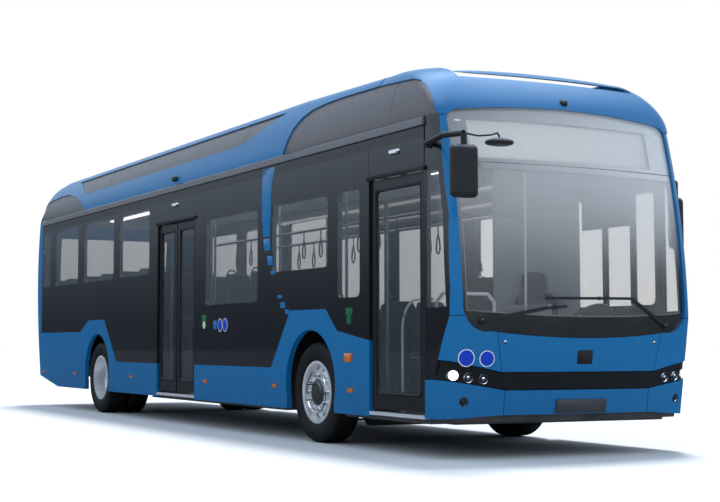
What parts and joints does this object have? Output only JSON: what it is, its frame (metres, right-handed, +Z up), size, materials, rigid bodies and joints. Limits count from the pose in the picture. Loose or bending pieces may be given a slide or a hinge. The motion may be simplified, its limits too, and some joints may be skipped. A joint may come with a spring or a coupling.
{
  "type": "electric city bus",
  "caption": "Single-deck low-entry electric city bus with inward gliding doors, roof fairings over battery packs, steered front wheels and twin rear wheels.",
  "frame": {"origin": "on the ground under the middle of the outline", "axes": "+X forward, +Y to the left, +Z up"},
  "size_m": [12.2185, 2.84, 3.3899],
  "materials": {
    "body_paint": "gloss",
    "band_black": "gloss",
    "rail_grey": "satin",
    "pane": "gloss",
    "panel_dark": "matt",
    "roof_metal": "satin",
    "chassis": "matt",
    "lining": "matt",
    "sill_bright": "brushed",
    "rail_steel": "satin",
    "seat_cloth": "woven",
    "black_plastic": "satin",
    "lamp_clear": "gloss",
    "lamp_red": "gloss",
    "lamp_amber": "gloss",
    "tyre_rubber": "matt",
    "rim_metal": "satin",
    "door_black": "satin"
  },
  "bodies": {
    "bus_body": {"axles": "chassis", "battery_packs": "roof_metal", "cant_rails": "rail_grey", "chassis_rails": "chassis", "dashboard": "lining", "door_sills": "sill_bright", "driver_screen": "lining", "driver_seat": "seat_cloth", "front_cap": "body_paint", "front_frame": "chassis", "front_lamps": "lamp_clear", "front_panels": "body_paint", "front_pillars": "body_paint", "handrails": "rail_steel", "header_housings": "lining", "lamp_band": "band_black", "mirrors": "black_plastic", "quarter_panels": "band_black", "rear_cap": "body_paint", "rear_lamps": "lamp_red", "rear_platform": "chassis", "rear_wall": "body_paint", "roof_deck": "roof_metal", "roof_fairings": "body_paint", "roof_grilles": "panel_dark", "seat_backs": "seat_cloth", "seat_cushions": "seat_cloth", "side_markers": "lamp_amber", "skirts": "body_paint", "steering_wheel": "black_plastic", "underframe": "chassis", "wheel_boxes": "chassis", "window_band_left": "band_black", "window_band_right": "band_black", "window_glass": "pane", "windscreen": "pane", "wipers": "black_plastic"},
    "wheel_front_right": {"tyre_front_right": "tyre_rubber", "rim_front_right": "rim_metal"},
    "wheel_front_left": {"tyre_front_left": "tyre_rubber", "rim_front_left": "rim_metal"},
    "wheels_rear_right": {"tyres_rear_right": "tyre_rubber", "rims_rear_right": "rim_metal"},
    "wheels_rear_left": {"tyres_rear_left": "tyre_rubber", "rims_rear_left": "rim_metal"},
    "knuckle_right": {"knuckle_right": "chassis"},
    "knuckle_left": {"knuckle_left": "chassis"},
    "tie_rod": {"tie_rod": "chassis"},
    "rear_hatch": {"rear_hatch": "body_paint"},
    "door_post_front": {"post_front": "door_black"},
    "door_post_mid_front": {"post_mid_front": "door_black"},
    "door_post_mid_rear": {"post_mid_rear": "door_black"},
    "door_leaf_front": {"leaf_front": "door_black", "leaf_front_glass": "pane"},
    "door_leaf_mid_front": {"leaf_mid_front": "door_black", "leaf_mid_front_glass": "pane"},
    "door_leaf_mid_rear": {"leaf_mid_rear": "door_black", "leaf_mid_rear_glass": "pane"}
  },
  "joints": [
    {"name": "steer_right", "type": "hinge", "parent": "bus_body", "child": "knuckle_right", "pos_m": [3.35, -0.89, 0.478], "axis": [0, 0, 1], "range_deg": [-45, 45]},
    {"name": "steer_left", "type": "hinge", "parent": "bus_body", "child": "knuckle_left", "pos_m": [3.35, 0.89, 0.478], "axis": [0, 0, 1], "range_deg": [-45, 45]},
    {"name": "tie_rod_pivot", "type": "hinge", "parent": "knuckle_right", "child": "tie_rod", "pos_m": [3.12, -0.89, 0.197], "axis": [0, 0, 1], "range_deg": [-45, 45]},
    {"name": "spin_front_right", "type": "hinge", "parent": "knuckle_right", "child": "wheel_front_right", "pos_m": [3.35, -1.08, 0.478], "axis": [0, 1, 0], "continuous": true},
    {"name": "spin_front_left", "type": "hinge", "parent": "knuckle_left", "child": "wheel_front_left", "pos_m": [3.35, 1.08, 0.478], "axis": [0, 1, 0], "continuous": true},
    {"name": "spin_rear_right", "type": "hinge", "parent": "bus_body", "child": "wheels_rear_right", "pos_m": [-3.05, -0.94, 0.478], "axis": [0, 1, 0], "continuous": true},
    {"name": "spin_rear_left", "type": "hinge", "parent": "bus_body", "child": "wheels_rear_left", "pos_m": [-3.05, 0.94, 0.478], "axis": [0, 1, 0], "continuous": true},
    {"name": "hatch_hinge", "type": "hinge", "parent": "bus_body", "child": "rear_hatch", "pos_m": [-6.093, 0, 1.646], "axis": [0, 1, 0], "range_deg": [0, 80]},
    {"name": "door_front", "type": "hinge", "parent": "bus_body", "child": "door_post_front", "pos_m": [4.48, -1.082, 0.35], "axis": [0, 0, 1], "range_deg": [0, 90]},
    {"name": "door_front_leaf", "type": "hinge", "parent": "door_post_front", "child": "door_leaf_front", "pos_m": [4.955, -1.19, 0.35], "axis": [0, 0, -1], "range_deg": [0, 180]},
    {"name": "door_mid", "type": "hinge", "parent": "bus_body", "child": "door_post_mid_front", "pos_m": [0.475, -1.082, 0.35], "axis": [0, 0, -1], "range_deg": [0, 90]},
    {"name": "door_mid_leaf_front", "type": "hinge", "parent": "door_post_mid_front", "child": "door_leaf_mid_front", "pos_m": [0.156, -1.19, 0.35], "axis": [0, 0, 1], "range_deg": [0, 180]},
    {"name": "door_mid_post_rear", "type": "hinge", "parent": "bus_body", "child": "door_post_mid_rear", "pos_m": [-0.765, -1.082, 0.35], "axis": [0, 0, 1], "range_deg": [0, 90]},
    {"name": "door_mid_leaf_rear", "type": "hinge", "parent": "door_post_mid_rear", "child": "door_leaf_mid_rear", "pos_m": [-0.446, -1.19, 0.35], "axis": [0, 0, -1], "range_deg": [0, 180]}
  ],
  "couplings": [
    {"joint": "steer_left", "follows": "steer_right", "ratio": 1},
    {"joint": "tie_rod_pivot", "follows": "steer_right", "ratio": -1},
    {"joint": "door_front_leaf", "follows": "door_front", "ratio": 2},
    {"joint": "door_mid_leaf_front", "follows": "door_mid", "ratio": 2},
    {"joint": "door_mid_post_rear", "follows": "door_mid", "ratio": 1},
    {"joint": "door_mid_leaf_rear", "follows": "door_mid", "ratio": 2}
  ]
}
